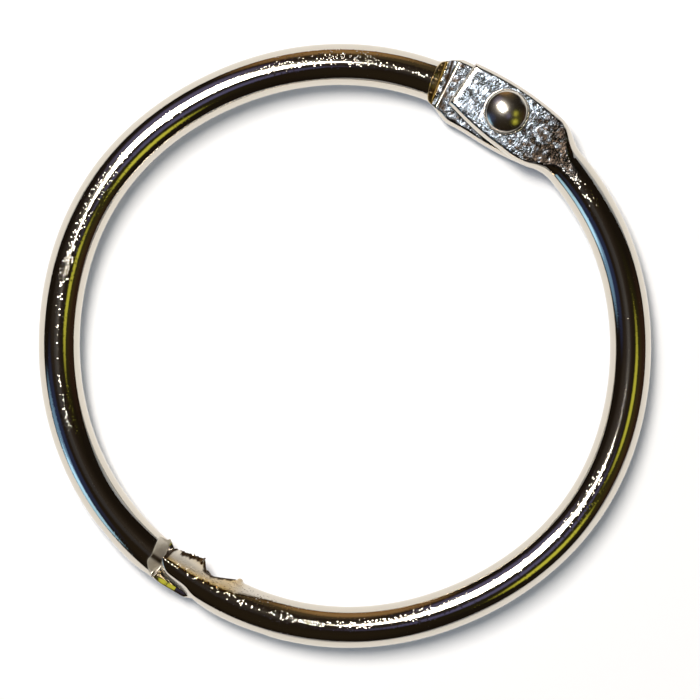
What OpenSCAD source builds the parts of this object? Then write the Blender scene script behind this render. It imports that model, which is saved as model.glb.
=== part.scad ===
// Hinged binder ring: two half rings of round wire, riveted together at one end
// and snapped together by a half-lap catch at the other. Both halves are pressed
// alike, apart from small differences that are named below, and the lower one is
// turned over about the line from hinge to catch.
// X points to the upper half's side, Y to the hinge, Z up from the surface that
// the ring lies on. Lengths are in millimetres and angles in degrees.

/* [Ring] */
// Diameter of the wire
wire_d = 3; // [2.6:0.1:3.4]
// Radius of each half ring's centreline
arc_r = 20.25; // [17:0.25:26]
// How far each half stands out to its own side, which makes the ring slightly oval
side_shift = 0.5; // [0.2:0.1:0.8]
// How far the upper half sits towards the hinge
upper_shift = 0.2; // [0:0.05:0.3]
// How far the lower half sits towards the catch
lower_shift = 0.18; // [0:0.02:0.3]

/* [Hinge lug] */
// Width of the upper half's flattened lug outside its wire's centreline
upper_lug_out = 2.2; // [1.9:0.05:2.4]
// The same of the lower half
lower_lug_out = 2.3; // [1.9:0.05:2.4]
// Width of the flattened lug inside its wire's centreline
lug_in = 2.4; // [2:0.05:2.6]
// How much the lug's inner side draws in towards its cut end
lug_taper = 0.8; // [0:0.1:1]
// Distance from the rivet's axis, on the wire's side, at which the inner side starts to draw in
taper_x = 0.9; // [0.5:0.1:1.5]
// Thickness of the lug
lug_t = 1.4; // [1.2:0.05:1.45]
// Width of the rounding along each side of the lug
lug_side = 0.38; // [0.2:0.02:0.6]
// Length of the lug's outer face past the rivet's axis
lug_tail = 3.4; // [2.8:0.05:3.7]
// Angle of the lug's cut end from upright
lug_lean = 17; // [0:1:30]
// Distance from the rivet's axis to the end of the flat mating face
shoulder_x = 5.2; // [4.8:0.1:6]
// Length of the curved ramp from the mating face out to the round wire
ramp_len = 0.65; // [0.4:0.05:1.2]
// Length over which the upper half's wire spreads to the lug's width on the outer side
upper_flare_out = 2.5; // [1.6:0.1:3]
// The same of the lower half
lower_flare_out = 1.7; // [1.6:0.1:3]
// Length over which the upper half's wire spreads on the inner side
upper_flare_in = 3.7; // [1.6:0.1:4.6]
// The same of the lower half
lower_flare_in = 2.6; // [1.6:0.1:4.6]
// Half width of the die line across the mating face
die_line = 0.09; // [0.05:0.01:0.15]
// Distance of the die line from the end of the mating face
die_in = 0.5; // [0.3:0.05:1]
// Angle of the die line from square across the lug
die_skew = 7; // [0:1:12]

/* [Rivet] */
// How far the rivet's axis lies outside the radius of the half rings' centrelines
hinge_out = 0.25; // [0:0.05:0.4]
// Diameter of the rivet's shank
shank_d = 1.9; // [1.5:0.05:2.2]
// Radial clearance of the shank in the turning upper lug
shank_play = 0.03; // [0.02:0.01:0.08]
// Clearance under the rivet's head
head_play = 0.03; // [0.02:0.01:0.1]
// Diameter of the head's thin rim
head_d = 3.35; // [2.8:0.05:3.6]
// Thickness of the head's rim
head_rim = 0.14; // [0.08:0.02:0.3]
// Diameter of the domed part of the head
dome_d = 3.17; // [2.6:0.05:3.4]
// Height of the dome above the rim
dome_h = 0.9; // [0.5:0.05:1.2]
// Diameter of the set tail under the lugs
tail_d = 2.8; // [2.4:0.1:3.2]
// Height of the set tail
tail_h = 0.55; // [0.4:0.05:0.8]

/* [Catch] */
// Gap between the two halves' mating faces, at the catch and at the lugs
lap_gap = 0.05; // [0.02:0.01:0.1]
// Length of the lapped head past the catch's centre
head_len = 2.15; // [1.9:0.05:2.4]
// How far the head's outer face lies outside its wire's centreline
head_out = 0.84; // [0.7:0.02:1]
// How far the head's rounded tip lies inside its wire's centreline
tip_in = 0.3; // [0.1:0.05:0.5]
// How far inside the ring's centreline the tip starts to round off to its inner edge
toe_in = 0.5; // [0.3:0.05:0.7]
// Radius of that rounding
toe_r = 0.85; // [0.5:0.05:0.9]
// How far the hooked corner stands inside the ring's inner line
hook_out = 0.33; // [0.1:0.01:0.4]
// Place of the hooked corner past the catch's centre
hook_s = 0.46; // [0.2:0.02:0.8]
// Length of the slope from the hooked corner out to the notch
hook_slope = 0.7; // [0.5:0.05:1]
// Depth of the notch behind the hooked corner, from the ring's inner line
notch_deep = 0.42; // [0.2:0.02:0.5]
// Length of the notch's floor
notch_len = 0.6; // [0.3:0.05:0.7]
// Length over which the notch runs out to the full wire
notch_run = 1.55; // [1:0.05:2]
// Depth of the waist on the outer side, beside the notch
waist_deep = 0.2; // [0.1:0.02:0.4]
// Length over which the waist runs out to the full wire
waist_run = 2.4; // [1.5:0.1:3]
// Place where the upper half's outer side steps in from the waist to the head
upper_step_s = 0.66; // [0.5:0.02:1.6]
// Length of that step
upper_step_len = 0.5; // [0.3:0.05:2.2]
// Place where the lower half's outer side steps in from the waist to the head
lower_step_s = 1.5; // [0.5:0.02:1.6]
// Length of that step
lower_step_len = 2; // [0.3:0.05:2.2]
// Height of the flash left along the head's inner edge
flash_t = 0.2; // [0.12:0.02:0.3]
// Distance of the head's pressed inner flank from the wire's axis
flank_d = 1.19; // [1.1:0.01:1.3]
// How far the flank's own centre is set aside, which makes it run out along the wire
flank_run = 1.8; // [1.4:0.1:2.2]
// Radius of the spur thrown up at the end of the notch
spur_r = 0.3; // [0.2:0.01:0.4]
// How far the spur stands inside the wire
spur_out = 0.2; // [0.1:0.01:0.25]
// Place of the upper half's spur along the lap
upper_spur_s = 3.68; // [3.4:0.02:4]
// Place of the lower half's spur along the lap
lower_spur_s = 2.95; // [2.8:0.02:4]
// Radius of the round seat that takes the other half's head, at its floor
seat_r = 4.38; // [4:0.02:4.8]
// Slope of the seat's wall, as spread for each millimetre of height
seat_slope = 0.5; // [0.2:0.05:0.7]
// Place of the seat's axis along the lap
seat_s = 2.24; // [2:0.02:2.5]
// How far the seat's axis lies inside the ring's centreline
seat_in = 1.64; // [1.4:0.02:1.9]
// Gap between the head's nose and the seat's wall
nose_gap = 0.25; // [0.15:0.05:0.4]
// Height of the catch tooth under the head
tooth_h = 0.28; // [0.2:0.02:0.4]
// Distance from the catch's centre to the tooth's locking face
tooth_s = 0.85; // [0.7:0.05:1]
// Length of the tooth at its foot
tooth_len = 0.55; // [0.4:0.05:0.7]
// Length of the tooth at its crest
tooth_crest = 0.18; // [0.1:0.02:0.3]
// How far the tooth reaches inside the ring's centreline
tooth_in = 0.9; // [0.6:0.05:1]
// How far the tooth reaches outside the ring's centreline
tooth_out = 0.35; // [0.2:0.05:0.45]
// Clearance of the tooth in its groove
tooth_play = 0.06; // [0.04:0.01:0.1]

/* [Hidden] */
$fn = 64;

wire_r = wire_d / 2;
half_gap = lap_gap / 2;
lug_top = half_gap + lug_t;
hinge_r = arc_r + hinge_out;
// Height of the ring's middle plane above the table, on which the rivet's tail stands
plane_z = lug_top + tail_h;
// How far the ring's centre lies from the middle of its length, towards the catch
off_middle = (upper_shift + upper_lug_out - wire_r - lower_shift) / 2;

// Length that cutters and hidden joins reach past what they cut or meet
past = 0.1;
reach = 3 * wire_d;
// The lug's blank is skinned from inside the round wire to beyond its cut end
ramp_x = shoulder_x + ramp_len;
wire_x = ramp_x + 2 * past;
blank_x = wire_x + 2 * past;
// The blank's first section is this much slimmer than the wire, and its flats start this wide
slim = 0.02;
flat_start = 0.03;
around = 7;
half_steps = 13;

function mix(a, b, t) = a + (b - a) * t;
function ease(t) = let (c = min(max(t, 0), 1)) c * c * (3 - 2 * c);
// Angle turned along an arc of the given radius
function turn(length, radius) = length / radius * 180 / PI;

// ---- Hinge lug: sections carried along the arc, from round wire to flat lug ----

// How far the ramp has risen at distance x from the rivet: steep at first, level at its end
function risen(x) = sin(90 * min(max((ramp_x - x) / ramp_len, 0), 1));
// How far the wire has spread at distance x from the rivet, over the given length
function spread(x, flare) = ease((ramp_x - x) / flare);
// How far the lug's inner side has drawn in at distance x from the rivet
function drawn_in(x) = lug_taper * pow(max(taper_x - x, 0) / (lug_tail + taper_x), 2);

// Points first to last of one corner of a section: a quarter ellipse of half axes a and b about [y, z]
function corner(y, z, a, b, from, first, last) =
    [for (i = [first : last]) let (t = from + 90 * i / around) [y + a * cos(t), z + b * sin(t)]];

// Section of the upper half at distance x from the rivet, as [outward, up] points
function lug_section(x, lug_out, flare_out, flare_in) =
    let (
        thick = x > wire_x ? wire_r - slim : wire_r,
        outer = mix(thick, lug_out, spread(x, flare_out)),
        inner = mix(thick, lug_in, spread(x, flare_in)) - drawn_in(x),
        top = mix(thick, lug_top, spread(x, flare_out)),
        bottom = mix(-thick, half_gap, risen(x)),
        half_h = (top - bottom) / 2,
        middle = (top + bottom) / 2,
        // a sliver of flat is left on the round wire, so that no two points of a section meet
        round_top = mix(thick - flat_start, lug_side, spread(x, flare_out)),
        round_mate = mix(thick - flat_start, lug_side, risen(x))
    )
    concat(
        corner(outer - round_top, middle, round_top, half_h, 0, 0, around),
        corner(round_top - inner, middle, round_top, half_h, 90, 0, around),
        corner(round_mate - inner, middle, round_mate, half_h, 180, 1, around),
        corner(outer - round_mate, middle, round_mate, half_h, 270, 0, around - 1)
    );

// A section's point set on the half's own arc, at distance x from the rivet
function on_arc(x, p) =
    let (a = turn(x - side_shift, arc_r)) [(arc_r + p[0]) * sin(a), (arc_r + p[0]) * cos(a), p[1]];

// Distances of the sections: close together on the ramp and wider on the lug
function lug_stations() = concat(
    [for (i = [0 : half_steps]) mix(blank_x, shoulder_x, i / half_steps)],
    [for (i = [1 : half_steps]) mix(shoulder_x, -lug_tail - lug_t, i / half_steps)]
);

// Skin over rings of equal length, with a flat cap at each end
module skin(rings) {
    n = len(rings[0]);
    m = len(rings);
    polyhedron(
        points = [for (ring = rings) for (p = ring) p],
        faces = concat(
            [[for (i = [n - 1 : -1 : 0]) i]],
            [[for (i = [0 : n - 1]) (m - 1) * n + i]],
            [for (j = [0 : m - 2]) for (i = [0 : n - 1])
                [j * n + i, (j + 1) * n + (i + 1) % n, (j + 1) * n + i]],
            [for (j = [0 : m - 2]) for (i = [0 : n - 1])
                [j * n + i, j * n + (i + 1) % n, (j + 1) * n + (i + 1) % n]]
        )
    );
}

module lug_blank(lug_out, flare_out, flare_in) {
    skin([for (x = lug_stations())
        [for (p = lug_section(x, lug_out, flare_out, flare_in)) on_arc(x, p)]]);
}

// Everything past the lug's leaning cut end
module lug_crop() {
    translate([-lug_tail, hinge_r, lug_top]) rotate([0, lug_lean, 0])
        translate([-reach, -reach, -reach]) cube([reach, 2 * reach, 2 * reach]);
}

// The die's line across the mating face, just inside the ramp
module lug_die_line() {
    translate([shoulder_x - die_in, hinge_r, half_gap]) rotate([90, 0, -die_skew])
        cylinder(r = die_line, h = reach, center = true);
}

// ---- Catch: plan points are [along the lap, out from the ring's centreline] ----

function lap(p) = let (a = turn(p[0], arc_r)) [(arc_r + p[1]) * sin(a), -(arc_r + p[1]) * cos(a)];
function round_arc(centre, r, from, to, n) =
    [for (i = [0 : n]) let (a = mix(from, to, i / n)) centre + r * [cos(a), sin(a)]];
// Points of a smooth step from one place to another
function step(a, b, n) = [for (i = [0 : n]) [mix(a[0], b[0], i / n), mix(a[1], b[1], ease(i / n))]];

// The head's rounded tip runs from its outer face to its foremost point
tip_r = head_out + tip_in;
tip_c = [tip_r - head_len, -tip_in];
toe_turn = 55;
toe_c = [toe_r - head_len, -toe_in];
notch_s = hook_s + hook_slope;
notch_end = notch_s + notch_len;
notch_t = notch_deep - wire_r;
waist_t = wire_r - waist_deep;
// Width of the flash before it is trimmed
flash_w = 0.5;

// What the die trims off outside the head's outer face and round its tip
function outer_trim(step_s, step_len) = concat(
    step([step_s + waist_run, wire_r + past], [step_s, waist_t], 6),
    step([step_s, waist_t], [step_s - step_len, head_out], 8),
    round_arc(tip_c, tip_r, 90, 180, 10),
    [[-reach, -tip_in], [-reach, reach], [step_s + waist_run, reach]]
);
// What the die trims off inside the head's inner edge, with the hooked corner and the notch
function inner_trim() = concat(
    [[-reach, 0], [-head_len, 0]],
    round_arc(toe_c, toe_r, 180, 180 + toe_turn, 4),
    [
        [hook_s, -wire_r - hook_out], [notch_s, notch_t], [notch_end, notch_t],
        [notch_end + notch_run, -wire_r - past], [notch_end + notch_run + past, -reach], [-reach, -reach]
    ]
);

module trim(points) {
    linear_extrude(2 * reach, center = true) polygon([for (p = points) lap(p)]);
}

// Revolve a profile of [out from the wire's centreline, up] about the half's own centre,
// between two places along the lap
module along_lap(from, to) {
    rotate([0, 0, -90 + turn(from - side_shift, arc_r)])
        rotate_extrude(angle = turn(to - from, arc_r)) translate([arc_r, 0]) children();
}

// The thin flash squeezed out along the head's inner edge
module flash() {
    along_lap(-head_len, notch_s)
        translate([-wire_r - flash_w, half_gap]) square([wire_r + flash_w - flank_d, flash_t]);
}

// The steep inner flank that the die presses on the head, running out along the wire
module flank_trim() {
    rise = flank_d * sqrt(2);
    translate([-flank_run, 0, 0]) along_lap(-2 * head_len, 3 * head_len)
        polygon([
            [half_gap - rise, half_gap], [wire_d - rise, wire_d], [-wire_d, wire_d], [-wire_d, half_gap]
        ]);
}

// The small spur at the end of the notch
module spur(spur_s) {
    rotate([0, 0, -90 + turn(spur_s - side_shift, arc_r)])
        translate([arc_r - wire_r - spur_out + spur_r, 0, 0]) sphere(r = spur_r);
}

// The round, sloping seat that takes the other half's head
module seat() {
    at = lap([-seat_s, -seat_in]);
    translate([at[0], at[1], half_gap - 2 * wire_d])
        cylinder(r1 = seat_r + 2 * wire_d * seat_slope, r2 = seat_r, h = 2 * wire_d);
}

// What the head's nose leaves clear of the other half's seat
module nose_trim() {
    at = lap([seat_s, -seat_in]);
    nose_r = seat_r - nose_gap;
    difference() {
        translate([-reach, -arc_r - reach / 2, half_gap - wire_r]) cube([reach, reach, wire_r + wire_d]);
        translate([at[0], at[1], half_gap - wire_d])
            cylinder(r1 = nose_r - wire_d * seat_slope, r2 = nose_r + wire_d * seat_slope, h = 2 * wire_d);
    }
}

// The catch tooth's profile, as [along the lap, up], grown by a clearance
function tooth(play) = [
    [play - tooth_s, half_gap + past], [play - tooth_s, -tooth_h - play],
    [-tooth_s - tooth_crest, -tooth_h - play], [-tooth_s - tooth_len - play, half_gap + past]
];

// A tooth across the lap, between two places out from the ring's centreline
module tooth_bar(play, from, to) {
    translate([0, -arc_r - from, 0]) rotate([90, 0, 0]) linear_extrude(to - from) polygon(tooth(play));
}

// ---- One half ring, drawn as the upper one, about the ring's centre and middle plane ----

module half_wire() {
    past_catch = turn(head_len + side_shift + 3 * past, arc_r);
    rotate([0, 0, -90 - past_catch])
        rotate_extrude(angle = 180 + past_catch - turn(wire_x - side_shift, arc_r))
            translate([arc_r, 0]) circle(d = wire_d);
}

// trim_shift is how far the trimmed inner edge sits towards the hinge
module half_ring(shift, trim_shift, hole_d, lug_out, flare_out, flare_in, step_s, step_len, spur_s) {
    difference() {
        translate([side_shift, shift, 0]) {
            difference() {
                half_wire();
                flank_trim();
            }
            lug_blank(lug_out, flare_out, flare_in);
            flash();
        }
        lug_crop();
        lug_die_line();
        seat();
        nose_trim();
        translate([0, shift, 0]) trim(outer_trim(step_s, step_len));
        translate([0, trim_shift, 0]) trim(inner_trim());
        rotate([0, 180, 0]) tooth_bar(tooth_play, -wire_r, wire_r);
        translate([0, hinge_r, 0]) cylinder(d = hole_d, h = reach, center = true);
    }
    tooth_bar(0, -tooth_in, tooth_out);
    translate([side_shift, shift, 0]) spur(spur_s);
}

// Set what is drawn about the ring's centre into the part's own frame
module placed() {
    translate([0, -off_middle, plane_z]) children();
}

module upper_half_ring() {
    color("silver") placed()
        half_ring(
            shift = upper_shift, trim_shift = 0, hole_d = shank_d + 2 * shank_play,
            lug_out = upper_lug_out, flare_out = upper_flare_out, flare_in = upper_flare_in,
            step_s = upper_step_s, step_len = upper_step_len, spur_s = upper_spur_s
        );
}

module lower_half_ring() {
    color("gainsboro") placed() rotate([0, 180, 0])
        half_ring(
            shift = -lower_shift, trim_shift = -lower_shift, hole_d = shank_d,
            lug_out = lower_lug_out, flare_out = lower_flare_out, flare_in = lower_flare_in,
            step_s = lower_step_s, step_len = lower_step_len, spur_s = lower_spur_s
        );
}

// Radius of a shallow dome of the given diameter and height
function dome_radius(d, h) = (d * d / 4 + h * h) / (2 * h);

// The rivet, turned about its axis: set tail, shank, thin rim and dome
module hinge_rivet() {
    under_head = lug_top + head_play;
    dome_r = dome_radius(dome_d, dome_h);
    dome_z = under_head + head_rim + dome_h - dome_r;
    dome_a = acos((dome_r - dome_h) / dome_r);
    tail_r = dome_radius(tail_d, tail_h);
    tail_z = tail_r - plane_z;
    tail_a = acos((tail_r - tail_h) / tail_r);
    color("lightgray") placed() translate([0, hinge_r, 0])
        rotate_extrude() polygon(concat(
            [for (i = [0 : 8]) let (a = tail_a * i / 8) [tail_r * sin(a), tail_z - tail_r * cos(a)]],
            [[shank_d / 2, -lug_top], [shank_d / 2, under_head]],
            [[head_d / 2, under_head], [head_d / 2, under_head + head_rim]],
            [for (i = [12 : -1 : 0]) let (a = dome_a * i / 12) [dome_r * sin(a), dome_z + dome_r * cos(a)]]
        ));
}

lower_half_ring();
upper_half_ring();
hinge_rivet();
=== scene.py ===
import math

import bpy
import numpy as np
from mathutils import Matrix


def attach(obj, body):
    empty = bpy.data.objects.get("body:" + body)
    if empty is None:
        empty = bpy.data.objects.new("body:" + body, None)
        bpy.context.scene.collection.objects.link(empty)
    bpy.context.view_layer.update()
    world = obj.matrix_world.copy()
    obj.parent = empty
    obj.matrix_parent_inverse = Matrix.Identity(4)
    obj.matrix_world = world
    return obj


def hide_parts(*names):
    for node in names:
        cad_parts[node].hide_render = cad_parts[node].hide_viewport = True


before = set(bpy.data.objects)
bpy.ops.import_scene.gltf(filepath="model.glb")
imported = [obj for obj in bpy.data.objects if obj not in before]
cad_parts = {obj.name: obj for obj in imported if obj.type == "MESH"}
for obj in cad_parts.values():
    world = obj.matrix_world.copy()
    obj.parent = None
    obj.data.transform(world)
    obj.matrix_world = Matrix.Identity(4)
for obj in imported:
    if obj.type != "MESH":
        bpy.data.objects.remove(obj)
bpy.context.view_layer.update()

# A hinged binder ring: two half rings of nickel-plated wire, a rivet through their
# flattened ends and a half-lap catch at the others. Shapes are worked out in
# millimetres, with numpy, and stored in metres.
#
# Each half is worked out as if it were the upper one. A point of it is given as w along
# its own arc from the rivet's axis, y out from its centreline and z up from the middle
# plane. px and py are its plan place about the ring's centre, with the rivet at the
# top. At the catch, s runs along the lap from its centre back towards the half's own
# wire, and t out from the ring's centreline. A depth is the distance to a surface,
# below zero inside it.

MM = 0.001

# Ring, as in the CAD model
WIRE = 1.5              # radius of the wire
ARC = 20.25             # radius of each half's centreline
SIDE = 0.5              # how far each half stands out to its own side
GAP = 0.025             # each mating face lies this far from the middle plane
PLANE = 1.975           # height of the middle plane over the table
MIDDLE = 0.36           # the ring's centre lies this far from the middle of its length
HINGE = ARC + 0.25      # distance of the rivet's axis from the ring's centre
CATCH = SIDE + math.pi * ARC + SIDE     # place of the catch's centre along a half
# Wave that bending left in the wire: its height, its span in radians, and the mean
BEND, BEND_SPAN, BEND_MEAN = 0.11, 1.08, -0.02

# Lug for the rivet, at one end of a half
LUG_TOP = 1.425         # height of its top face
LUG_MID = (LUG_TOP + GAP) / 2
LUG_SIDE = 0.95         # radius of its barrel-shaped sides
LUG_IN = 2.4            # its reach inside the centreline
TAPER, TAPER_FROM, TAPER_LEN = 0.8, 0.9, 4.3    # how its inner side draws in to the end
TAIL = 3.7              # distance of its cut end past the rivet's axis
LEAN = 0.093            # how much the cut end leans for each millimetre up
ROLL_AT, ROLL_SLOPE = -3.36, 0.34       # where its top rolls down to the cut, and how fast
RAMP, RAMP_LEN = 5.85, 0.65     # where the ramp to the mating face begins, and its length
RAMP_DEEP = 0.12        # how far below the wire the ramp starts
TOP_FROM, TOP_SLOPE = 4.6, 0.035        # the top face climbs from here to the wire
STEP_FROM, STEP_LEN, STEP_UP = 6.6, 2, 0.12     # and then by this more
DIE_AT, DIE_SKEW, DIE_LINE = 4.7, math.radians(7), 0.09     # line left by the die

# Catch at the other end
CATCH_FROM = 50         # its forms are worked out from here along the wire
AWAY = -9.0             # depth in a form before that
# Its inner flank, pressed to a slanting plane: a point on it, its rise for each
# millimetre out, and how far it runs inwards as the wire leaves the catch
FLANK_UP, FLANK_OUT, FLANK_SLOPE, FLANK_RUN = 1.49, 0.19, 1.14, 1.8
# The head in plan, as s and t: inner edge with its hooked corner and its notch, centre
# and radius of the pointed toe and of the round tip, and the reach of its outer edge
INNER_S = [-1.788, 0.46, 1.16, 1.76, 3.31, 4.3]
INNER_T = [-1.196, -1.83, -1.08, -1.08, -1.6, -2.2]
TOE_S, TOE_T, TOE = -1.3, -0.5, 0.85
TIP_S, TIP_T, TIP = -1.01, -0.1, 1.32
HEAD_OUT, WAIST_OUT, WIRE_OUT, WAIST_RUN = 1.22, 1.34, 1.6, 2.4
HEAD_LEAN = 0.33        # how much the outer face leans in for each millimetre up
# Cone-shaped seat, and the nose of the other half that enters it
SEAT, SEAT_S, SEAT_T = 4.38, -2.24, 18.61       # radius, and polar place of its axis
SEAT_X, SEAT_Y = SEAT_T * math.sin(SEAT_S / ARC), -SEAT_T * math.cos(SEAT_S / ARC)
SEAT_BACK = 0.3         # how much further back its wall lies outside
SEAT_IN, SEAT_SLOPE = 0.82, 0.54        # reach of its top inside, and its slope outside
NOSE, NOSE_SLOPE = 4.13, 0.5            # radius and slope of the nose
CONE = math.hypot(1, NOSE_SLOPE)        # length along the cone for one across it
# Flash along the head's inner rim, in y, z and s, and the waves of lumps on its edge:
# height, radians to the millimetre and start
FLASH_Y, FLASH_UP, FLASH_S = (-2.0, -1.0), 0.2, (-2.6, 1.3)
LUMPS = [(0.022, 11, 0), (0.015, 23, 1)]
# Raised tongue outside the head: where it begins in y and s, its climb along the lap
# and its fall outwards, for each millimetre
TONGUE_Y, TONGUE_S, TONGUE_CLIMB, TONGUE_FALL = 0.84, 0.1, 0.42, 0.1
# Pointed corner inside the seat on the lower half: where its point lies inside, the
# slopes to either side of it, its middle and half its height
CORNER_IN, CORNER_SLOPES, CORNER_Z, CORNER_HALF = 1.66, (0.48, -1.5), -0.25, 0.5
# Tooth below the mating face, and groove for the other half's tooth: the straight side,
# the heights, the lean of the other side for each millimetre with the length along it
# for one across, and the ends, from the ring's centre. FOOT is where that side stands.
TOOTH_AT, TOOTH_LOW, TOOTH_UP = 0.85, -0.28, 0.3
TOOTH_LEAN, TOOTH_RUN, TOOTH_ENDS = 0.914, 1.35, (19.35, 20.6)
GROOVE_AT, GROOVE_UP, GROOVE_LEAN, GROOVE_RUN, GROOVE_OUT = 0.79, 0.34, 0.925, 1.36, 20.8
FOOT = 1.03
SPUR, SPUR_IN = 0.3, 1.4                # radius of the round spur, and its place inside

# Beads of plating on the upper head, at (along, out, up) from the catch's centre
BEAD = 0.085
BEADS = [(-2.15, -0.6, 1.05), (0.4, -1.62, 0.3), (0.85, -1.0, 0.6), (-0.98, -0.23, 1.44),
         (-0.75, -0.2, 1.47), (-0.29, -0.33, 1.35), (0.75, -0.27, 1.42),
         (1.17, -0.38, 1.3), (1.6, -0.42, 1.3), (2.3, -0.5, 1.3)]

# What differs between the two halves: the shift of the arc and of the trimmed inner edge
# towards the hinge, the lug's reach outside, the lengths over which the wire spreads to
# it, the step beside the head, the spur's place, which way up it lies, and its pitted
# patches, each as (along, half its length, out)
UPPER = dict(shift=0.2, trim=0.0, lug_out=2.2, flare_out=2.5, flare_in=3.7,
             step=0.9, step_len=0.9, spur=3.68, turned=1,
             specks=[(7.3, 1.5, 0.0), (32.5, 3.0, -0.15), (52.0, 6.5, -0.3)])
LOWER = dict(shift=-0.18, trim=-0.18, lug_out=2.3, flare_out=1.7, flare_in=2.6,
             step=1.5, step_len=2.0, spur=2.65, turned=-1,
             specks=[(13.0, 4.5, 0.35), (37.0, 7.0, 0.1)])

# Skin of a half: points round each outline, outlines along it, and the gap between
# those at places along the wire, small on the ramp and at the catch
AROUND, STATIONS = 150, 560
SPACING = [(-3, .03), (-2.6, .09), (2, .09), (4.7, .08), (5.1, .03), (6.0, .03), (7.0, .08),
           (9, .5), (55, .5), (58.5, .08), (60.5, .038), (66.2, .038), (66.74, .02)]
REACH = 4.2             # no outline lies further than this from its middle
UV_TO_MM = 100          # UV 1 is this many millimetres


# ---- Small helpers for whole arrays ----

def mix(a, b, t):
    """a where t is 0, b where t is 1, in proportion between."""
    return a + (b - a) * t


def ease(t):
    """3 t squared less 2 t cubed, with t held between 0 and 1."""
    t = np.clip(t, 0, 1)
    return t * t * (3 - 2 * t)


def bell(d, half):
    """1 where d is 0, falling to either side: e to the minus square of d over half."""
    return np.exp(-(d / half) ** 2)


def bulge(radius, past):
    """Half width of a circle at a distance past its centre: the root of the radius
    squared less that distance squared, and the full radius before the centre."""
    return np.sqrt(np.maximum(radius ** 2 - np.minimum(past, 0) ** 2, 0))


def within(*sides):
    """Depth in the space that all the sides bound: the largest of them."""
    return np.maximum.reduce(np.broadcast_arrays(*sides))


def meet(*depths, sharp):
    """Depth in what several solids share: the largest depth, with the corner eased.
    It is the logarithm of the summed exponentials of sharp times each depth, over
    sharp, so the corner's radius is near one over sharp."""
    most = within(*depths)
    return most + np.log(sum(np.exp(sharp * (d - most)) for d in depths)) / sharp


def join(*depths, sharp):
    """Depth in either of several solids: the smallest depth, with the inner corner filled."""
    return -meet(*(-d for d in depths), sharp=sharp)


def evened(knots, gaps, count):
    """Places along a line whose spacing follows gaps, given at knots: the running
    sum of one over the gap is cut into equal parts."""
    fine = np.linspace(knots[0], knots[-1], 4000)
    run = np.concatenate([[0], np.cumsum(1 / np.interp(fine[1:], knots, gaps))])
    return np.interp(np.linspace(0, run[-1], count), run, fine)


# ---- One half ring: how deep a point lies in it ----

def plan(w, y, half):
    """Plan place of a point at w along the half's own arc and y outside it: a circle
    about the half's own centre, of radius ARC plus y, at the angle w over ARC."""
    a = (w - SIDE) / ARC
    return SIDE + (ARC + y) * np.sin(a), half["shift"] + (ARC + y) * np.cos(a)


def lap(px, py, shift):
    """Place along the lap and out from the ring's centreline, about a centre set off by
    shift: the angle from the catch times ARC, and the distance from the centre less ARC."""
    qy = py - shift
    return ARC * np.arctan2(px, -qy), np.hypot(px, qy) - ARC


def lug_parts(w, y, z, half):
    """Depths in the rod, under the top face and over the mating face. The rod is what
    lies within a radius of a flat strip, and the strip widens and the radius shrinks
    smoothly from wire to lug. The top face climbs from the lug to the wire. The mating
    face rises from below the wire as a quarter of a sine wave."""
    wide = ease((RAMP - w) / half["flare_out"])
    wide_in = ease((RAMP - w) / half["flare_in"])
    radius = mix(WIRE, LUG_SIDE, wide)
    taper = TAPER * (np.maximum(TAPER_FROM - w, 0) / TAPER_LEN) ** 2
    out = mix(WIRE, half["lug_out"], wide) - radius
    inn = mix(WIRE, LUG_IN, wide_in) - taper - radius
    beside = np.maximum(np.maximum(y - out, -y - inn), 0)
    rod = np.hypot(beside, z - mix(0, LUG_MID, wide)) - radius
    climb = TOP_SLOPE * np.maximum(w - TOP_FROM, 0)
    top = z - LUG_TOP - climb - STEP_UP * ease((w - STEP_FROM) / STEP_LEN)
    risen = np.sin(np.pi / 2 * np.clip((RAMP - w) / RAMP_LEN, 0, 1))
    mate = mix(-WIRE - RAMP_DEEP, GAP, risen) - z
    return dict(rod=rod, top=top, mate=mate)


def inner_edge(s, t):
    """Depth outside the head's inner edge: straight runs from corner to corner with a
    round toe, less t, with two sine waves of lumps where the flash is."""
    lumps = sum(high * np.sin(rate * s + start) for high, rate, start in LUMPS)
    lumps = lumps * ease((0.6 - s) / 0.3) * ease((s + 1.9) / 0.3)
    toe = TOE_T - bulge(TOE, s - TOE_S)
    return np.where(s < INNER_S[0], toe, np.interp(s, INNER_S, INNER_T)) - t + lumps


def outer_edge(s, t, z, half):
    """Depth inside the head's outer edge: its reach less t. The reach steps smoothly
    from the head to the waist and on to the wire, and the tip is round. The face
    leans in as it goes up."""
    step, long = half["step"], half["step_len"]
    waist = mix(WAIST_OUT, WIRE_OUT, ease((s - step) / WAIST_RUN))
    head = mix(HEAD_OUT, WAIST_OUT, ease((s - step + long) / long))
    tip = TIP_T + bulge(TIP, s - TIP_S)
    lean = HEAD_LEAN * np.clip(z - GAP, 0, 1.3) * ease((1.6 - s) / 1.2)
    return np.where(s > step, waist, np.where(s > TIP_S, head, tip)) - t - lean


def seat_wall(px, py, y, z):
    """Depth in front of the seat's wall: a cone about an upright axis, whose radius
    grows as it goes down. Outside the centreline it grows in proportion, and inside
    by the same amount over whatever height the wire's round skin has there."""
    tall = np.sqrt(np.maximum(WIRE ** 2 - y ** 2, 0.5)) + GAP
    slope = np.where(y < 0, SEAT_IN / tall, SEAT_SLOPE)
    back = SEAT_BACK * ease((y + 0.1) / 0.7)
    return (SEAT + back + slope * (GAP - z) - np.hypot(px - SEAT_X, py - SEAT_Y)) / CONE


def nose_skin(px, py, z):
    """Depth outside the nose that enters the other half's seat: a cone about the
    mirrored axis, past the middle of the lap only."""
    nose = (np.hypot(px + SEAT_X, py - SEAT_Y) - NOSE - NOSE_SLOPE * (z - GAP)) / CONE
    return np.where(px < 0.3, nose, AWAY)


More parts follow.
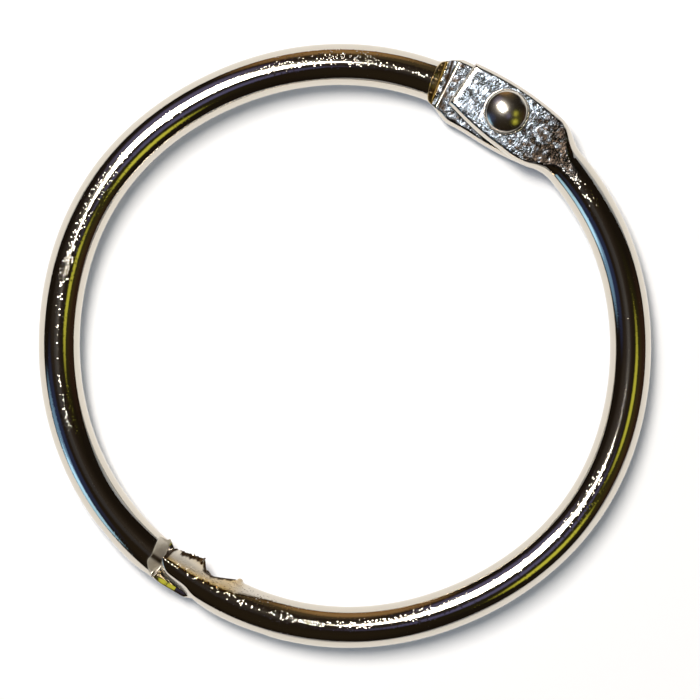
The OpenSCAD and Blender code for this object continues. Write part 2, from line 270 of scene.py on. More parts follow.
def tongue(y, s):
    """Height of the tongue over the seat's floor: a straight climb along the lap, led
    in by a gentler one, less a fall outwards, after a steep smooth step."""
    climb = TONGUE_CLIMB * np.maximum(s - TONGUE_S, 0) + 0.1 * np.clip(s + 0.9, 0, 1)
    return (climb - TONGUE_FALL * (y - 0.7)) * ease((y - TONGUE_Y) / 0.06)


def parts_of(w, y, z, half):
    """Depth of a point in each of the forms that make up a half, and its place at the
    catch. The seat's floor is the mating face with the tongue on it."""
    px, py = plan(w, y, half)
    s, t = lap(px, py, half["trim"])
    own_s, own_t = lap(px, py, half["shift"])
    line = FLANK_UP + FLANK_SLOPE * (y + FLANK_OUT + FLANK_RUN * np.sin((w - SIDE) / ARC))
    forms = dict(flank=(z - line) / math.hypot(1, FLANK_SLOPE), inner=inner_edge(s, t),
                 outer=-outer_edge(own_s, own_t, z, half),
                 wall=seat_wall(px, py, y, z), nose=nose_skin(px, py, z))
    forms = {name: np.where(w > CATCH_FROM, depth, AWAY) for name, depth in forms.items()}
    floor = GAP - z - tongue(y, s)
    return dict(lug_parts(w, y, z, half), **forms, floor=floor, px=px, py=py, s=s)


def spur_off(w, half):
    """Place along the wire from the spur's middle, towards the tip."""
    return w - CATCH + half["spur"]


def seat_corner(w, y, z, half):
    """Depth in the seat's pointed corner: a wedge in plan with a slope to either side
    of the spur's place, between two heights, and inside of y = -1."""
    off = spur_off(w, half)
    point = np.maximum(CORNER_SLOPES[0] * off, CORNER_SLOPES[1] * off) - CORNER_IN - y
    return within(point, np.abs(z - CORNER_Z) - CORNER_HALF, y + 1.0)


def tooth(px, py, z):
    """Depth in the catch's tooth: a bar under the head with one leaning side."""
    lean = (-FOOT - (z - TOOTH_LOW) * TOOTH_LEAN - px) / TOOTH_RUN
    return within(px + TOOTH_AT, TOOTH_LOW - z, lean, z - TOOTH_UP,
                  -TOOTH_ENDS[1] - py, py + TOOTH_ENDS[0])


def groove(px, py, z):
    """Depth in the groove that takes the other half's tooth, with one leaning side."""
    lean = (px - FOOT - (GROOVE_UP - z) * GROOVE_LEAN) / GROOVE_RUN
    return within(GROOVE_AT - px, z - GROOVE_UP, lean, -py - GROOVE_OUT)


def half_depth(w, y, z, half, beads=BEADS):
    """Depth of a point in a half ring: the rod between its top, mating face and flank,
    joined by the flash, cut by the head's outer edge, by the seat, which is its floor
    and its wall together, by the nose and by the inner edge, joined by the corner, cut
    by the rolled end, the die's line and the groove, and joined by the tooth, beads
    and spur. Each is worked out only along the stretch of w where it lies."""
    p = parts_of(w, y, z, half)
    px, py, s = p["px"], p["py"], p["s"]
    d = meet(p["rod"], p["top"], p["mate"], p["flank"], sharp=mix(30, 60, ease((w - 60) / 3)))
    flash = within(FLASH_Y[0] - y, y - FLASH_Y[1], GAP - z, z - GAP - FLASH_UP,
                   FLASH_S[0] - s, s - FLASH_S[1])
    d = np.where(w > CATCH_FROM, join(d, flash, sharp=60), d)
    # before w = 58 the outer edge gives way to the plain wire
    edge = p["outer"] - 2 * ease((58 - w) / 3)
    d = np.where(w > 55, meet(d, edge, sharp=mix(16, 30, ease((s - 2) / 3))), d)
    seat = join(p["floor"], p["wall"], sharp=mix(20, 5, ease((y - 0.5) / 0.5)))
    seat = np.where(w > CATCH_FROM, seat, AWAY)
    d = meet(d, seat, p["nose"], p["inner"], sharp=40)
    if half["turned"] < 0:
        corner = meet(seat_corner(w, y, z, half), seat, sharp=60)
        d = np.where(w > 55, join(d, corner, sharp=60), d)
    roll = z - LUG_TOP + ROLL_SLOPE * (ROLL_AT - px)
    d = np.where(w < 0, meet(d, roll, sharp=30), d)
    line = np.hypot((px - DIE_AT) - math.tan(DIE_SKEW) * (py - HINGE), z - GAP) - DIE_LINE
    d = np.where((w > 3) & (w < 6.5) & (z < 0.4), meet(d, -line, sharp=60), d)
    d = np.where((w > 60) & (z < 0.6), meet(d, -groove(px, py, z), sharp=60), d)
    d = np.where(w > 60, join(d, tooth(px, py, z), sharp=60), d)
    if half["turned"] < 0:
        return d
    for along, out, up in beads:
        off = w - CATCH + along
        bead = np.sqrt(off ** 2 + (y - out) ** 2 + (z - up) ** 2) - BEAD
        d = np.where(np.abs(off) < 0.2, join(d, bead, sharp=80), d)
    ball = np.sqrt(spur_off(w, half) ** 2 + (y + SPUR_IN) ** 2 + z * z) - SPUR
    return np.where(w > 55, join(d, ball, sharp=35), d)


# ---- One half ring: its skin ----

def end_place(y, z):
    """Place along the arc of the lug's leaning cut end, for a point y out and z up."""
    x = -TAIL + (z - LUG_TOP) * LEAN
    return SIDE + ARC * np.arcsin((x - SIDE) / (ARC + y))


def station(u, y, z):
    """Place along the arc of a point of the station u: u itself, but beyond u = -1
    the stations turn in proportion until the last, at -3, lies in the cut end."""
    part = np.clip((-1 - u) / 2, 0, 1)
    return np.where(u < -1, mix(-1.0, end_place(y, z), part), u)


def middle_of(u):
    """A point inside the section at station u, from which the whole outline is seen.
    From the middle of the lug it eases to that of the wire, and at the catch it
    follows the front of the seat, passes over it and ends high in the head's tip. It
    only has to lie in the metal: the shape doesn't depend on its numbers."""
    s = CATCH - u
    wide = ease((RAMP - u) / 1.2)
    y_wire = -0.3 * wide * ease((1 - u) / 4)
    z_wire = mix(0, LUG_MID, wide)
    # out: just past the seat's wall, then by steps as the lap's centre is passed
    lobe = SEAT_T - ARC + np.sqrt(np.maximum(SEAT ** 2 - (s - SEAT_S) ** 2, 0)) + 0.12
    over = ease((s - 0.05) / 0.25)
    y_catch = np.where(s > 0.95, np.clip(lobe, 0, 1.15), mix(0.5, 0.97, over))
    y_catch = np.where(s > 2.0, 0.25, y_catch)
    y_catch = np.where(s < -0.9, mix(0.5, -0.4, ease((-s - 0.9) / 1.1)), y_catch)
    # up: low behind the seat, lifted over its corner, and high in the tip
    bump = ease((s - 0.62) / 0.12) * ease((1.62 - s) / 0.12)
    z_catch = mix(mix(0.5, 0.15, over), 0.62, bump)
    z_catch = mix(z_catch, 1.2, ease((-s - 1.5) / 0.6))
    near = ease((7 - s) / 3)
    return mix(y_wire, y_catch, near), mix(z_wire, z_catch, near)


def shoot(u, turn, half, beads=BEADS):
    """End of the ray from the station's middle, at an angle, where the depth is zero:
    the span is halved again and again, towards the change of sign."""
    ym, zm = middle_of(u)
    c, s = np.cos(turn), np.sin(turn)
    low, high = np.zeros(turn.shape), np.full(turn.shape, REACH)
    for _ in range(20):
        r = (low + high) / 2
        y, z = ym + r * c, zm + r * s
        inside = half_depth(station(u, y, z), y, z, half, beads) < 0
        low, high = np.where(inside, r, low), np.where(inside, high, r)
    return ym + low * c, zm + low * s


def outlines(u, half):
    """Outline of each station, with its points closer together at corners: the
    running sum of length plus turning is cut into equal parts, from the same
    place near the crown on each. The beads are left out of the spacing."""
    rays = np.linspace(np.pi / 2, np.pi * 5 / 2, 901)
    first = rays[None, :-1]
    y, z = shoot(u[:, None], np.repeat(first, len(u), 0), half, beads=[])
    dy, dz = np.roll(y, -1, 1) - y, np.roll(z, -1, 1) - z
    heading = np.unwrap(np.arctan2(dz, dy), axis=1)
    bend = np.abs(np.roll(heading, -1, 1) - heading)
    bend = np.minimum(bend, np.abs(bend - 2 * np.pi))
    bend = (bend + np.roll(bend, 1, 1) + np.roll(bend, 2, 1)) / 3
    # a radian of turning counts as much as 0.25 mm, and the sum is smoothed over 9 rays
    weight = np.hypot(dy, dz) + 0.25 * np.minimum(bend, 0.6)
    weight = sum(np.roll(weight, k, 1) for k in range(-4, 5)) / 9
    run = np.concatenate([np.zeros((len(u), 1)), np.cumsum(weight, 1)], 1)
    # each outline starts where its top crosses y = 0.3, and at the tip y = -0.3
    start = mix(0.3, -0.3, ease((u - CATCH - 1.2) / 0.8))[:, None]
    crossed = (y > start) & (np.roll(y, -1, 1) <= start) & (np.sin(first) > 0)
    at = crossed.argmax(1)[:, None]
    left = np.take_along_axis(y, at, 1) - start
    begin = np.take_along_axis(run, at, 1) + np.clip(left, 0, 0.05)
    share = np.linspace(0, 1, AROUND + 1)[:-1]
    turn = np.array([np.interp((b + share * row[-1]) % row[-1], row, rays)
                     for b, row in zip(begin[:, 0], run)])
    return shoot(u[:, None], turn, half)


def uneven(w):
    """How far bending left the wire off a true arc: a wave of five to the turn, that
    fades away from the half's middle."""
    theta = (w - SIDE) / ARC - np.pi / 2
    return BEND * np.cos(5 * theta) * bell(theta, BEND_SPAN) + BEND_MEAN


def placed(w, y, z, half):
    """Point of a half in the part's own frame: the plan place, with the lower half
    turned over about the line from hinge to catch, set down on the table."""
    px, py = plan(w, y + uneven(w), half)
    flip = half["turned"]
    return np.stack([px * flip, py - MIDDLE, z * flip + PLANE], -1) * MM


def zones_of(w, y, z, half):
    """Where each finish lies, from 0 to 1. A face is where the depth in its form is
    near zero, by a bell of that depth, and its ends along the wire are smooth steps."""
    p = parts_of(w, y, z, half)
    s, catch = p["s"], w > 58
    # pressed by the die: the lug's top and its mating face
    mating = bell(p["mate"], .05) * (w < RAMP - .7)
    coined = np.maximum(ease((8.5 - w) / 2.5) * bell(p["top"], .05), mating)
    # cut: the seat's wall, partly the head's outer face, and the spur
    head = 0.35 * bell(p["outer"], .04) * ease((z - GAP - 0.1) / 0.1)
    knob = bell(np.hypot(spur_off(w, half), y + 1.5), .3) * (half["turned"] > 0)
    sheared = np.maximum(np.maximum(bell(p["wall"], .05) * (z < GAP), head), knob) * catch
    # dark ragged burrs on the flash, on the head's rim and along the die's line, and
    # painted shade in the middle of the seat's wall
    rim = mix(0.3, 0.12, ease((s - 0.8) / 0.5)) + 0.03 * np.sin(9 * s) + 0.02 * np.sin(21 * s)
    toe = np.hypot(s - TOE_S, np.minimum(y - TOE_T, 0)) - TOE
    edge = ease((rim + 0.06 + np.where(s < TOE_S, toe, p["inner"])) / 0.12)
    edge = edge * ease((z - GAP - .01) / .05) * (s < 3.4) * (y < 0.1)
    flash = bell(z - GAP - FLASH_UP, .05) * (y < -1.2) * (s < FLASH_S[1])
    # painted shade: the middle of the seat's wall, darkened with the burr colour
    painted_shade_bridge = bell(p["wall"], .06) * np.exp(-((y - 0.02) / 0.2) ** 4) * (z < 0)
    die = bell(w - DIE_AT - 0.12 * y, .11) * bell(p["mate"], .12)
    burr_and_shade = np.maximum(np.maximum(np.maximum(flash, edge), painted_shade_bridge) * catch, die)
    # stain from wear and damp, and painted dark reflection: the top towards the wire, and less
    # on the mating face
    stain_and_dark_reflection = ease((w - 0.6) / 4.0) * ease((11 - w) / 2) * bell(p["top"], .1)
    stain_and_dark_reflection = np.maximum(stain_and_dark_reflection, 0.4 * mating)
    # thin plating that shows golden: the catch's crease and the ramp
    gilt = bell(p["rod"], .3) * bell(p["flank"], .05) * ease((w - 60) / 2)
    ramp = ease((w - 5.1) / .15) * ease((6.1 - w) / .3) * bell(p["mate"], .1)
    # nodules: patches along the wire, the crease, and a few all over its top
    specks = sum(bell(w - at, long) * bell(y - out, .45) * (np.abs(z) > .8)
                 for at, long, out in half["specks"])
    crease = bell(p["rod"], .12) * bell(p["flank"], .16) * ease((w - 54) / 4)
    pitted = specks + crease * 1.3 + 0.1 * ease((np.abs(z) - 0.8) / 0.5)
    return dict(coined=coined, sheared=sheared, burr_and_shade=burr_and_shade, stain_and_dark_reflection=stain_and_dark_reflection,
                gilt=np.maximum(gilt, ramp), pitted=np.clip(pitted, 0, 1))


# ---- Meshes ----

def add_mesh(name, points, faces):
    """A smooth mesh object at the origin."""
    mesh = bpy.data.meshes.new(name)
    mesh.from_pydata(points.tolist(), [], faces)
    mesh.polygons.foreach_set("use_smooth", [True] * len(mesh.polygons))
    piece = bpy.data.objects.new(name, mesh)
    bpy.context.scene.collection.objects.link(piece)
    return piece


def bands(n, m):
    """Faces between n rings of m points, which are numbered ring after ring."""
    i, j = np.meshgrid(np.arange(n - 1), np.arange(m), indexing="ij")
    k = (j + 1) % m
    return np.stack([i * m + j, i * m + k, (i + 1) * m + k, (i + 1) * m + j], -1).reshape(-1, 4)


def closed_skin(name, rings, uv, zones, flip):
    """A closed skin over rings of equal length, with a pole in the middle of each end
    ring. The UV is distance along and around, and each zone becomes an attribute."""
    n, m, _ = rings.shape
    poles = np.stack([rings[0].mean(0), rings[-1].mean(0)])
    points = np.concatenate([rings.reshape(-1, 3), poles])
    quads = bands(n, m)
    e, f = np.arange(m), (np.arange(m) + 1) % m
    last = (n - 1) * m
    caps = np.concatenate([np.stack([f, e, np.full(m, n * m)], -1),
                           np.stack([last + e, last + f, np.full(m, n * m + 1)], -1)])
    if flip:
        quads, caps = quads[:, ::-1], caps[:, ::-1]
    piece = add_mesh(name, points, quads.tolist() + caps.tolist())
    mesh = piece.data
    uv = np.concatenate([uv, [uv[:m].mean(0)], [uv[-m:].mean(0)]])
    corner = np.empty(len(mesh.loops), dtype=np.int32)
    mesh.loops.foreach_get("vertex_index", corner)
    layer = mesh.uv_layers.new(name="along and around")
    layer.data.foreach_set("uv", uv[corner].astype(np.float32).ravel())
    for zone, value in zones.items():
        full = np.concatenate([value.ravel(), [value[0].mean()], [value[-1].mean()]])
        layer = mesh.attributes.new(zone, "FLOAT", "POINT")
        layer.data.foreach_set("value", full.astype(np.float32))
    mesh.update()
    return piece


def half_ring(name, half):
    """The skin of a half: its outlines, and before them the lug's cut end, as rings
    that draw in to the end's middle and are sheared metal."""
    knots, gaps = zip(*SPACING)
    u = evened(knots, gaps, STATIONS)
    y, z = outlines(u, half)
    w = station(u[:, None], y, z)
    zones = zones_of(w, y, z, half)
    around = np.cumsum(np.hypot(np.diff(y, axis=1), np.diff(z, axis=1)), 1)
    around = np.concatenate([np.zeros((len(u), 1)), around], 1)
    uv = np.stack([w, around], -1).reshape(-1, 2) / UV_TO_MM
    rings = placed(w, y, z, half)
    middle = rings[0].mean(0)
    draw = np.array([0.02, 0.25, 0.5, 0.75, 0.97])
    end = middle + (rings[0] - middle) * draw[:, None, None]
    rings = np.concatenate([end, rings])
    uv = np.concatenate([np.repeat(uv[:AROUND], len(draw), 0), uv])
    for zone, value in zones.items():
        cut = np.full((len(draw), AROUND), float(zone == "sheared"))
        zones[zone] = np.concatenate([cut, value])
    return closed_skin(name, rings, uv, zones, half["turned"] > 0)


def revolved(name, profile, centre, around):
    """A closed skin: a profile of (radius, height) points turned about an upright axis."""
    r, h = np.array(profile).T
    turn = np.linspace(0, 2 * np.pi, around + 1)[:-1]
    rings = np.stack([centre[0] + r[:, None] * np.cos(turn),
                      centre[1] + r[:, None] * np.sin(turn),
                      np.repeat(h[:, None], around, 1)], -1) * MM
    run = np.concatenate([[0], np.cumsum(np.hypot(np.diff(r), np.diff(h)))])
    uv = np.stack([np.repeat(run[:, None], around, 1), np.repeat(turn[None], len(r), 0)], -1)
    return closed_skin(name, rings, uv.reshape(-1, 2) / UV_TO_MM, {}, False)


def rivet(name):
    """Set tail, shank, thin rim and dome, as one profile from the table up. The tail
    is part of a ball. The dome is part of a larger ball, times the root of one less
    the 26th power of the share of its radius, which rounds it down to the rim."""
    tail, tail_high = 1.4, 0.55
    shank, rim, rim_high = 0.95, 1.675, 0.14
    dome, dome_high, dome_ball = 1.585, 0.88, 2.45
    ball = (tail ** 2 + tail_high ** 2) / (2 * tail_high)
    a = np.linspace(0.02, math.asin(tail / ball), 24)
    low = np.stack([ball * np.sin(a), ball - ball * np.cos(a)], -1)
    under = LUG_TOP + 0.03 + PLANE
    over = under + rim_high
    share = np.linspace(1.0, 0.006, 90)
    fall = dome_high - dome_ball + np.sqrt(dome_ball ** 2 - (dome * share) ** 2)
    high = np.stack([dome * share, over + fall * (1 - share ** 26) ** 0.5], -1)
    between = [[tail - .02, tail_high], [shank + .01, tail_high], [shank, tail_high + .01],
               [shank, under - .01], [shank + .01, under],
               [rim - .055, under], [rim - .015, under + .015], [rim, under + .05],
               [rim, over - .05], [rim - .015, over - .015], [rim - .055, over],
               [dome + .005, over + .002]]
    return revolved(name, np.concatenate([low, between, high]), (0, HINGE - MIDDLE), 160)


upper = half_ring("upper_half", UPPER)
lower = half_ring("lower_half", LOWER)
pin = rivet("rivet")
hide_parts("upper_half_ring")
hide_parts("lower_half_ring")
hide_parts("hinge_rivet")
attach(upper, "upper_half")
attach(lower, "lower_half")
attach(pin, "lower_half")


# ---- Materials ----

NICKEL = "#d4cdc0"      # bright nickel, a warm grey
COINED_BLUE_REFLECTION = "#97a3b0"      # nickel pressed by the die, painted cooler and darker for the bluish light it reflects
STAIN_AND_DARK_REFLECTION = "#3a322b"     # stain, and painted dark reflection
GILT = "#ceac68"        # thin plating
BURR_AND_SHADE = "#3c2c1a"        # bare steel, oxidised; also painted shade in the middle of the seat's wall


def linear(hexcode):
    """sRGB hex colour turned to linear light, with full alpha."""
    c = [int(hexcode[i:i + 2], 16) / 255 for i in (1, 3, 5)]
    return [v / 12.92 if v <= 0.04045 else ((v + 0.055) / 1.055) ** 2.4 for v in c] + [1]


def node(tree, kind, settings=None, **links):
    """Adds a shader node, with its settings, and with sockets set to a value or linked.
    A socket is named, with _ for a space, or is i and its number."""
    made = tree.nodes.new("ShaderNode" + kind)
    for key, value in (settings or {}).items():
        setattr(made, key, value)
    for key, value in links.items():
        numbered = key[1:].isdigit()
        socket = made.inputs[int(key[1:]) if numbered else key.replace("_", " ")]
        if isinstance(value, bpy.types.NodeSocket):
            tree.links.new(value, socket)
        else:
            socket.default_value = value
    return made


def blank(name):
    """A new material with an empty tree, and that tree."""
    material = bpy.data.materials.new(name)
    material.use_nodes = True
    material.node_tree.nodes.clear()
    return material, material.node_tree


def drawing_waves(tree, place):
    """Normal with the long shallow waves that drawing and bending left in the steel,
    2 to 3 mm apart: they make a reflected edge wander."""
    wave = node(tree, "TexNoise", i0=place, Scale=0.42 / MM, Detail=1.0)
    return node(tree, "Bump", Strength=0.3, Distance=0.02 * MM,
                Height=wave.outputs["Fac"]).outputs["Normal"]


def nickel_on_wire():
    """Bright nickel, plated in a tank on drawn steel wire whose ends were coined and
    sheared. To the eye it is a warm grey mirror with a faint blur, pricked by
    sparkling nodules, mottled where the die pressed it, with a painted cool and dark
    reflection there, and dull where it was cut."""
    material, tree = blank("nickel plate on drawn steel wire")
    place = node(tree, "TexCoord").outputs["Object"]
    coined, sheared, burr_and_shade, stain_and_dark_reflection, gilt, pitted = (
        node(tree, "Attribute", dict(attribute_name=zone)).outputs["Fac"]
        for zone in ("coined", "sheared", "burr_and_shade", "stain_and_dark_reflection", "gilt", "pitted"))
    bump = drawing_waves(tree, place)

    # Nodules of plating in patches about 4 mm long. Real ones are under 0.1 mm, too fine
    # to show, so they are drawn at 5.2 to the millimetre, 0.19 mm apart.
    patch = node(tree, "TexNoise", i0=place, Scale=0.26 / MM, Detail=2.0).outputs["Fac"]
    patch = node(tree, "MapRange", i0=patch, i1=0.47, i2=0.66, i3=0.02, i4=1.0).outputs[0]
    patch = node(tree, "Math", dict(operation="ADD"), i0=patch, i1=0.3).outputs[0]
    patch = node(tree, "Math", dict(operation="MULTIPLY"), i0=patch, i1=pitted).outputs[0]
    nodule = node(tree, "TexVoronoi", i0=place, Scale=5.2 / MM).outputs["Distance"]
    nodule = node(tree, "MapRange", dict(interpolation_type="SMOOTHSTEP"), i0=nodule,
                  i1=0.04, i2=0.38, i3=1.0, i4=0.0).outputs[0]
    bump = node(tree, "Bump", Strength=patch, Distance=0.035 * MM, Height=nodule,
                Normal=bump).outputs["Normal"]

    # The die's texture on the coined faces. Its grain is finer than shows, so it is drawn
    # 0.17 mm wide, deeper and shallower in areas of 0.7 mm, over dents of 1.1 mm.
    area = node(tree, "TexNoise", i0=place, Scale=1.5 / MM, Detail=1.0).outputs["Fac"]
    area = node(tree, "MapRange", i0=area, i1=0.38, i2=0.6, i3=0.1, i4=1.0).outputs[0]
    area = node(tree, "Math", dict(operation="MULTIPLY"), i0=area, i1=coined).outputs[0]
    grain = node(tree, "TexNoise", i0=place, Scale=6.0 / MM, Detail=1.0,
                 Roughness=0.6).outputs["Fac"]
    bump = node(tree, "Bump", Strength=area, Distance=0.16 * MM, Height=grain,
                Normal=bump).outputs["Normal"]
    dents = node(tree, "TexNoise", i0=place, Scale=0.9 / MM, Detail=1.0).outputs["Fac"]
    bump = node(tree, "Bump", Strength=coined, Distance=0.07 * MM, Height=dents,
                Normal=bump).outputs["Normal"]

    # Torn metal on the sheared faces and burrs, and on the painted shade in the seat's
    # wall. Real tears are about 0.05 mm wide and are drawn 0.19 mm wide to show.
    torn = node(tree, "TexNoise", i0=place, Scale=5.2 / MM, Detail=3.0).outputs["Fac"]
    rough = node(tree, "Math", dict(operation="MAXIMUM"), i0=sheared, i1=burr_and_shade).outputs[0]
    bump = node(tree, "Bump", Strength=rough, Distance=0.03 * MM, Height=torn,
                Normal=bump).outputs["Normal"]

    # A mirror's roughness on the plate, more where it was coined, most where it was torn
    dull = node(tree, "Math", dict(operation="MULTIPLY_ADD"), i0=rough, i1=0.45, i2=0.07)
    dull = node(tree, "Math", dict(operation="MULTIPLY_ADD"), i0=coined, i1=0.2,
                i2=dull.outputs[0]).outputs[0]

    # Dark clouds of 0.4 mm, partly stain and partly painted dark reflection, on the coined
    # faces and towards the wire, then the gilt, and the burrs with their painted shade
    dark_clouds = node(tree, "TexNoise", i0=place, Scale=2.4 / MM, Detail=3.0).outputs["Fac"]
    dark_clouds = node(tree, "Math", dict(operation="MULTIPLY_ADD"), i0=stain_and_dark_reflection, i1=0.26,
                 i2=dark_clouds).outputs[0]
    dark_clouds = node(tree, "MapRange", i0=dark_clouds, i1=0.41, i2=0.73).outputs[0]
    dark_cloud_area = node(tree, "Math", dict(operation="MAXIMUM"), i0=coined, i1=stain_and_dark_reflection).outputs[0]
    dark_clouds = node(tree, "Math", dict(operation="MULTIPLY"), i0=dark_clouds, i1=dark_cloud_area).outputs[0]
    tint = linear(NICKEL)
    # The die-pressed colour is a painted bluish reflection, the dark colour paints stain and
    # dark reflection, and the burr colour also paints shade in the seat's wall
    for share, colour in (coined, COINED_BLUE_REFLECTION), (dark_clouds, STAIN_AND_DARK_REFLECTION), (gilt, GILT), (burr_and_shade, BURR_AND_SHADE):
        tint = node(tree, "Mix", dict(data_type="RGBA"), i0=share, i6=tint,
                    i7=linear(colour)).outputs[2]

    # Torn metal scatters light from its hollows, so it looks paler and evener than a mirror
    metal = node(tree, "Math", dict(operation="MULTIPLY_ADD"), i0=sheared, i1=-0.6,
                 i2=1.0).outputs[0]
    shader = node(tree, "BsdfPrincipled", Base_Color=tint, Metallic=metal, Roughness=dull,
                  Normal=bump)
    node(tree, "OutputMaterial", Surface=shader.outputs[0])
    return material


def nickel_on_rivet():
    """Bright nickel, plated on a steel rivet that was set after: a warm grey mirror,
    blurred more than the wire by the die that rounded the head."""
    material, tree = blank("nickel plate on a set steel rivet")
    place = node(tree, "TexCoord").outputs["Object"]
    bump = drawing_waves(tree, place)
    # The die's fine grain, under 0.1 mm, drawn at 0.15 mm so that it shows
    grain = node(tree, "TexNoise", i0=place, Scale=6.5 / MM, Detail=1.0).outputs["Fac"]
    bump = node(tree, "Bump", Strength=0.3, Distance=0.01 * MM, Height=grain,
                Normal=bump).outputs["Normal"]
    shader = node(tree, "BsdfPrincipled", Base_Color=linear(NICKEL), Metallic=1.0,
                  Roughness=0.2, Normal=bump)
    node(tree, "OutputMaterial", Surface=shader.outputs[0])
    return material


wire_plate = nickel_on_wire()
upper.data.materials.append(wire_plate)
lower.data.materials.append(wire_plate)
pin.data.materials.append(nickel_on_rivet())


# ---- Light ----

TURN = math.radians(34.6)       # the camera is turned this far against the part's frame


def towards(azimuth, zenith):
    """Unit direction at an azimuth from the camera's right and an angle from upright."""
    a, t = math.radians(azimuth) + TURN, math.radians(zenith)
    return (math.sin(t) * math.cos(a), math.sin(t) * math.sin(a), math.cos(t))


def softbox(name, azimuth, zenith, across, high, distance, light, colour):
    """A flat lamp that faces the ring, with light as its radiance: power is that
    times pi times its area."""
    lamp = bpy.data.lights.new(name, "AREA")
    lamp.shape, lamp.size, lamp.size_y = "RECTANGLE", across, high
    lamp.energy = light * math.pi * across * high
    lamp.color = linear(colour)[:3]
    thing = bpy.data.objects.new(name, lamp)
    bpy.context.scene.collection.objects.link(thing)
    thing.location = [distance * c for c in towards(azimuth, zenith)]
    thing.rotation_euler = (math.radians(zenith), 0, math.radians(azimuth + 90) + TURN)
    thing.visible_camera = False


softbox("key softbox", azimuth=124, zenith=22, across=0.16, high=0.30, distance=0.65,
        light=31.6, colour="#fffaf4")

# The room is dark, with soft round patches of light that the mirror shows as streaks.
# Each is azimuth, zenith, half width and softness in degrees, colour and strength.
DARK = "#1e1812"
PATCHES = [
    (124, 23, 6, 9, "#e8e4dc", 0.35), (124, 28, 12, 36, "#5a4a38", 0.14),   # about the key
    (199, 75, 6, 10, "#7ca8d0", 0.9), (211, 79, 6, 8, "#a5d2f0", 1.4),      # low window
    (200, 55, 4, 16, "#24345c", 0.9),                                       # its blue glow
    (350, 33, 2, 9, "#b8b840", 1.2), (313, 46, 3, 9, "#b8b840", 1.4),       # two lamps
    (335, 42, 6, 26, "#30300a", 0.8),                                       # their glow
    (304, 16, 1, 10, "#7c7cb4", 0.5), (124, 48, 5, 14, "#7f7cb0", 0.45),    # violet lights
    (190, 14, 1, 14, "#6a7280", 0.15), (150, 36, 4, 20, "#4a4c50", 0.2),    # ceiling
    (92, 79, 8, 16, "#a07a4e", 0.8), (78, 64, 5, 20, "#6a5c3c", 0.4),       # warm walls
    (350, 72, 8, 22, "#4a2c1c", 0.35), (250, 45, 6, 30, "#2c2414", 0.4),
]


def room():
    """World shader: the dark ground plus each patch, whose strength falls smoothly with
    the cosine of the angle between its direction and the one looked in."""
    world = bpy.data.worlds.new("dim room")
    bpy.context.scene.world = world
    world.use_nodes = True
    tree = world.node_tree
    look = node(tree, "TexCoord").outputs["Generated"]
    total = linear(DARK)[:3]
    for azimuth, zenith, half, soft, colour, strength in PATCHES:
        near = node(tree, "VectorMath", dict(operation="DOT_PRODUCT"), i0=look,
                    i1=towards(azimuth, zenith)).outputs["Value"]
        share = node(tree, "MapRange", dict(interpolation_type="SMOOTHSTEP"), i0=near,
                     i1=math.cos(math.radians(half + soft)), i2=math.cos(math.radians(half)),
                     i3=0.0, i4=strength).outputs[0]
        lit = node(tree, "VectorMath", dict(operation="SCALE"), i0=linear(colour)[:3],
                   Scale=share).outputs[0]
        total = node(tree, "VectorMath", dict(operation="ADD"), i0=lit, i1=total).outputs[0]
    tree.links.new(total, tree.nodes["Background"].inputs["Color"])


room()


# ---- Table ----

FLAT, WIDE, TABLE_AROUND = 0.35, 1.0, 96        # flat part and full size in m, and points
# Where the rim rises higher: azimuth, half width in degrees, and by how much
RISES = [(33, 11, 0.85), (262, 12, 0.35), (292, 12, 0.3), (333, 12, 0.3), (150, 18, 0.25)]


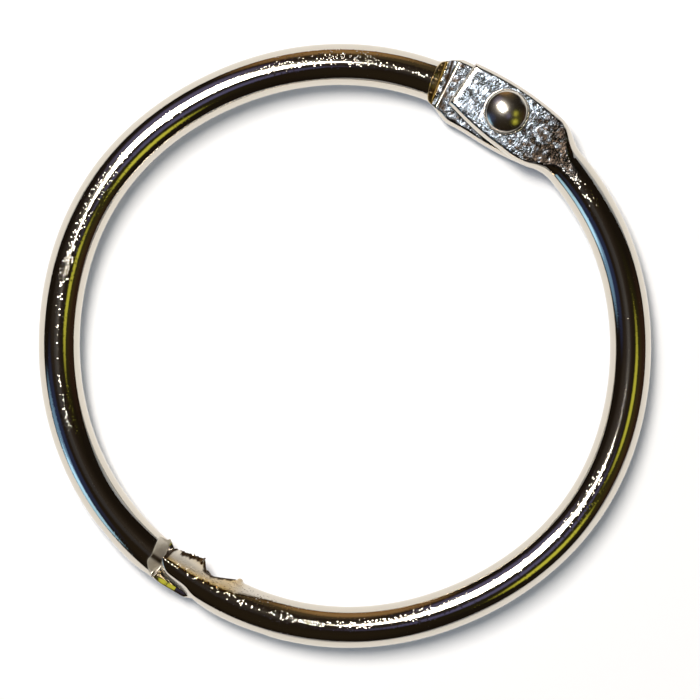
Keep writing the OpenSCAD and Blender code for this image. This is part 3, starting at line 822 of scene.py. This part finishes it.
def sweep():
    """Table top: a disc whose rim rises gently, as the square of the distance past
    the flat part, and higher on some sides than on others, by bells of the azimuth."""
    r = np.concatenate([np.linspace(0.02, FLAT, 12), np.linspace(0.38, WIDE, 22)])
    turn = np.linspace(0, 2 * np.pi, TABLE_AROUND + 1)[:-1]
    azimuth = np.degrees(turn - TURN)
    tall = 0.03 + sum(rise * bell((azimuth - centre + 180) % 360 - 180, half)
                      for centre, half, rise in RISES)
    h = np.where(r > FLAT, (r - FLAT) ** 2, 0)[:, None] * tall
    rings = np.stack([r[:, None] * np.cos(turn), r[:, None] * np.sin(turn), h], -1)
    points = np.concatenate([rings.reshape(-1, 3), [[0, 0, 0]]])
    quads = bands(len(r), TABLE_AROUND)[:, [0, 3, 2, 1]]
    e = np.arange(TABLE_AROUND)
    fan = np.stack([e, (e + 1) % TABLE_AROUND, np.full(TABLE_AROUND, len(points) - 1)], -1)
    return add_mesh("table_top", points, quads.tolist() + fan.tolist())


def white_paper():
    """Matt white paper, pressed from pulp: it scatters light evenly and keeps the ring's
    shadow. It shows itself a little brighter to the camera and in metal and glass, so
    that it is white there, and lights nothing more."""
    material, tree = blank("matt white paper")
    seen = node(tree, "LightPath").outputs
    shown = node(tree, "Math", dict(operation="MAXIMUM"), i0=seen["Is Camera Ray"],
                 i1=seen["Is Glossy Ray"]).outputs[0]
    shown = node(tree, "Math", dict(operation="MAXIMUM"), i0=shown,
                 i1=seen["Is Transmission Ray"]).outputs[0]
    shown = node(tree, "Math", dict(operation="MULTIPLY"), i0=shown, i1=0.17).outputs[0]
    shine = node(tree, "Emission", Color=linear("#d0e2ff"), Strength=shown).outputs[0]
    matt = node(tree, "BsdfDiffuse", Color=linear("#f0f0f0")).outputs[0]
    both = node(tree, "AddShader", i0=matt, i1=shine).outputs[0]
    node(tree, "OutputMaterial", Surface=both)
    return material


table = sweep()
table.data.materials.append(white_paper())


# ---- Camera: square to the ring, over the middle of what it shows ----

AIM = (0.47623, -0.38326)       # the middle of the view, in mm
HEIGHT = 340            # above the middle plane, in mm
SCALE = 13.82           # pixels to the millimetre there
FRAME = 700             # pixels across the image
SENSOR = 36             # mm
camera = bpy.data.cameras.new("camera")
camera.sensor_width = SENSOR
camera.lens = SENSOR * HEIGHT * SCALE / FRAME
camera.clip_start = 0.01
eye = bpy.data.objects.new("camera", camera)
bpy.context.scene.collection.objects.link(eye)
eye.location = (AIM[0] * MM, AIM[1] * MM, (PLANE + HEIGHT) * MM)
eye.rotation_euler = (0, 0, TURN)
bpy.context.scene.camera = eye
bpy.context.scene.view_settings.view_transform = "Standard"
